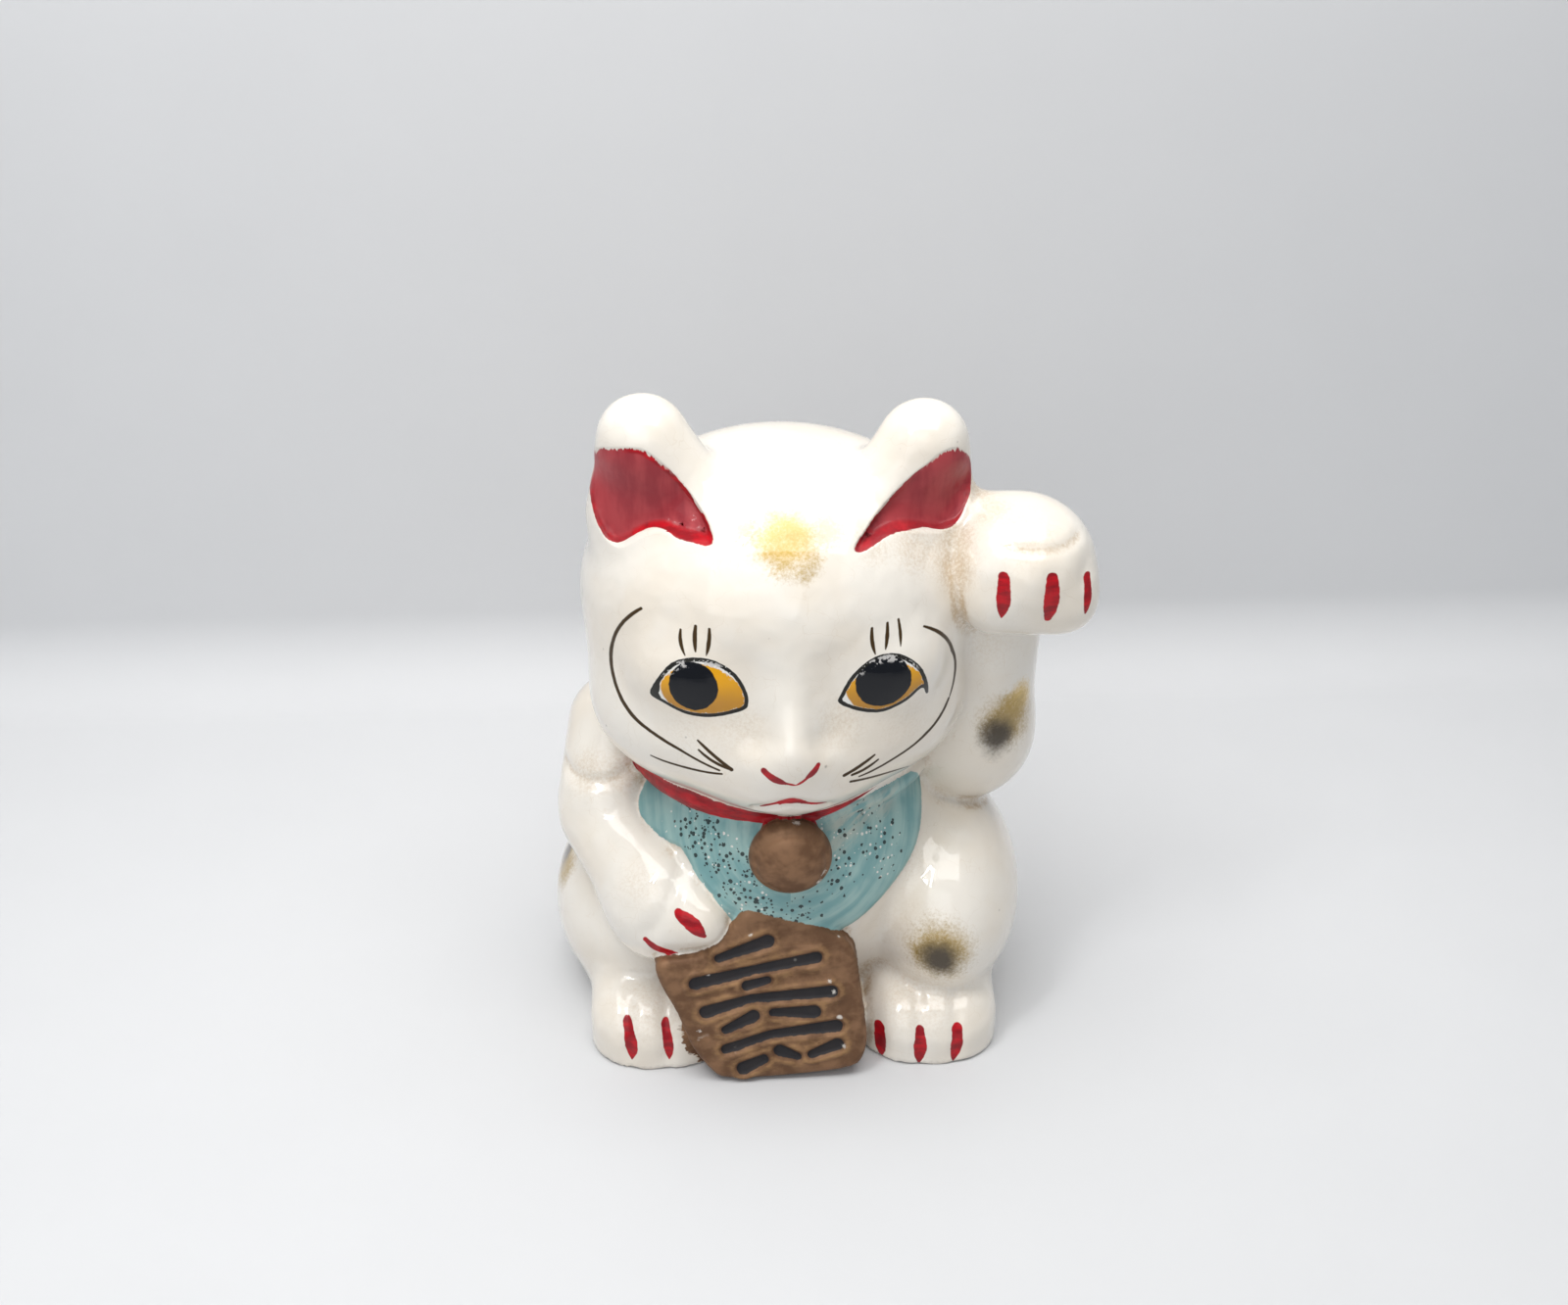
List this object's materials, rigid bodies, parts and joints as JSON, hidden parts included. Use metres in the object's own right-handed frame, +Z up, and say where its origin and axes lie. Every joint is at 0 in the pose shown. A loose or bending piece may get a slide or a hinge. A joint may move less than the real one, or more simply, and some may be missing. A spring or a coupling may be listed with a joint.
{
  "type": "lucky cat coin bank",
  "caption": "Hollow glazed ceramic coin bank in the form of a seated beckoning cat with bib, bell and coin plaque, slot in the back of the head.",
  "frame": {"origin": "on the flat foot, under the middle of the figure, at the height of the surface it stands on", "axes": "+Z up; -Y the way the cat faces; +X the side of its raised left paw"},
  "size_m": [0.1603, 0.1239, 0.1965],
  "materials": {
    "glazed_earthenware": "cream-white clear gloss glaze with fine crazing over hand-painted details"
  },
  "bodies": {
    "root": {"cat_bank": "glazed_earthenware"}
  },
  "joints": []
}
